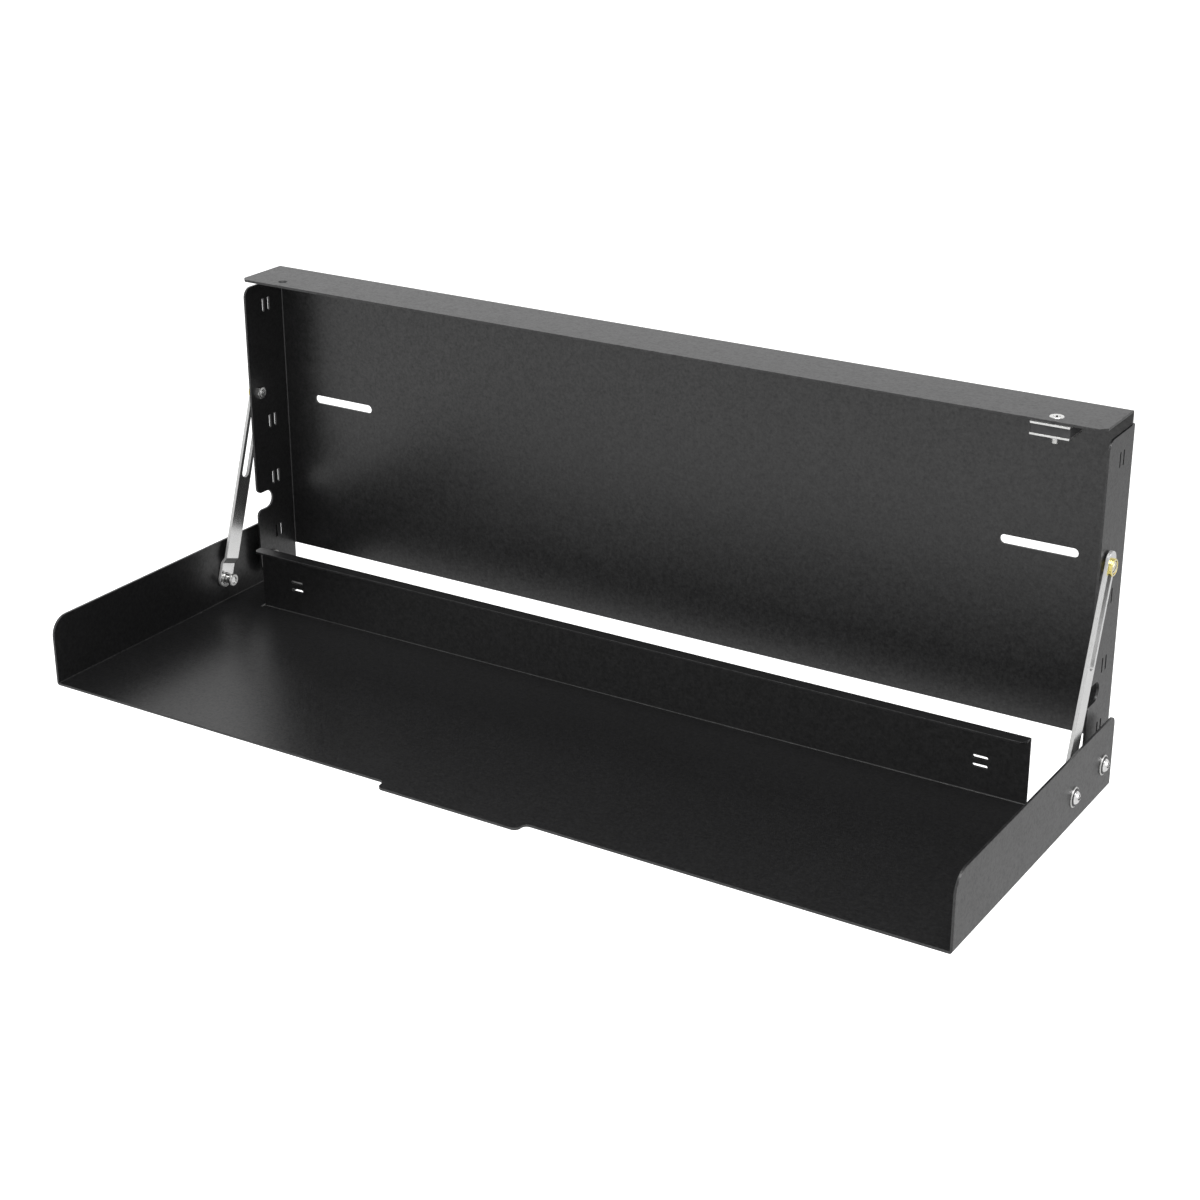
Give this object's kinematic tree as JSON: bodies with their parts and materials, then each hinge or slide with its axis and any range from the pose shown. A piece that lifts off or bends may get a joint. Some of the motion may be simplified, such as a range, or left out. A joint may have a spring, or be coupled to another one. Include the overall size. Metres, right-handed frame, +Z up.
{
  "type": "wall-mounted fold-down keyboard tray",
  "caption": "Wall-mounted steel keyboard tray on a slotted back frame, held level by two slotted stays and folding up flat against a magnetic catch.",
  "frame": {"origin": "centre of the two wall slots, on the rear face of the wall frame", "axes": "+X to the right seen from the front, along the length; +Y back into the wall; +Z up. The tray is open and level at rest."},
  "size_m": [0.6584, 0.2525, 0.2352],
  "materials": {
    "powder_coat": "fine-textured black powder coat, low sheen",
    "plated_bar": "bright nickel plated flat bar",
    "bright_screw": "bright zinc plated, light machining marks",
    "zinc_washer": "dull zinc plated steel",
    "brass": "turned brass, satin",
    "nylon": "moulded black nylon",
    "catch_plastic": "moulded black plastic, fine texture",
    "ferrite": "sintered dark grey ferrite, dry and matt",
    "pole_steel": "zinc plated pressed steel"
  },
  "bodies": {
    "frame": {"wall_frame": "powder_coat", "catch_housing": "catch_plastic", "catch_magnet": "ferrite", "catch_pole_plates": "pole_steel", "catch_screw": "bright_screw", "catch_nut": "zinc_washer", "hinge_bolt_left": "bright_screw", "hinge_washer_left": "zinc_washer", "hinge_spacer_left": "nylon", "hinge_nut_left": "zinc_washer", "pivot_stud_left": "bright_screw", "pivot_nut_left": "bright_screw", "hinge_bolt_right": "bright_screw", "hinge_washer_right": "zinc_washer", "hinge_spacer_right": "nylon", "hinge_nut_right": "zinc_washer", "pivot_stud_right": "bright_screw", "pivot_nut_right": "bright_screw"},
    "tray": {"tray": "powder_coat", "stay_bolt_left": "bright_screw", "stay_bolt_washer_left": "zinc_washer", "stay_thrust_washer_left": "nylon", "stay_barrel_nut_left": "bright_screw", "stay_bolt_right": "bright_screw", "stay_bolt_washer_right": "zinc_washer", "stay_thrust_washer_right": "nylon", "stay_barrel_nut_right": "bright_screw"},
    "stay_left": {"stay_left": "plated_bar"},
    "slider_left": {"slider_bush_left": "brass", "slider_screw_left": "brass"},
    "stay_right": {"stay_right": "plated_bar"},
    "slider_right": {"slider_bush_right": "brass", "slider_screw_right": "brass"}
  },
  "joints": [
    {"name": "tray_fold", "type": "hinge", "parent": "frame", "child": "tray", "pos_m": [0, -0.028, -0.1199], "axis": [-1, 0, 0], "range_deg": [0, 90]},
    {"name": "stay_pivot_left", "type": "hinge", "parent": "tray", "child": "stay_left", "pos_m": [-0.31975, -0.0745, -0.1211], "axis": [-1, 0, 0], "range_deg": [-110, 0]},
    {"name": "slot_slide_left", "type": "slide", "parent": "stay_left", "child": "slider_left", "axis": [0, -0.3202, -0.9474], "range_m": [0, 0.0556]},
    {"name": "stay_pivot_right", "type": "hinge", "parent": "tray", "child": "stay_right", "pos_m": [0.31975, -0.0745, -0.1211], "axis": [-1, 0, 0], "range_deg": [-110, 0]},
    {"name": "slot_slide_right", "type": "slide", "parent": "stay_right", "child": "slider_right", "axis": [0, -0.3202, -0.9474], "range_m": [0, 0.0556]}
  ],
  "couplings": [
    {"joint": "stay_pivot_left", "follows": "tray_fold", "ratio": -1.22},
    {"joint": "slot_slide_left", "follows": "tray_fold", "m_per_rad": 0.034931},
    {"joint": "stay_pivot_right", "follows": "tray_fold", "ratio": -1.22},
    {"joint": "slot_slide_right", "follows": "tray_fold", "m_per_rad": 0.034931}
  ]
}
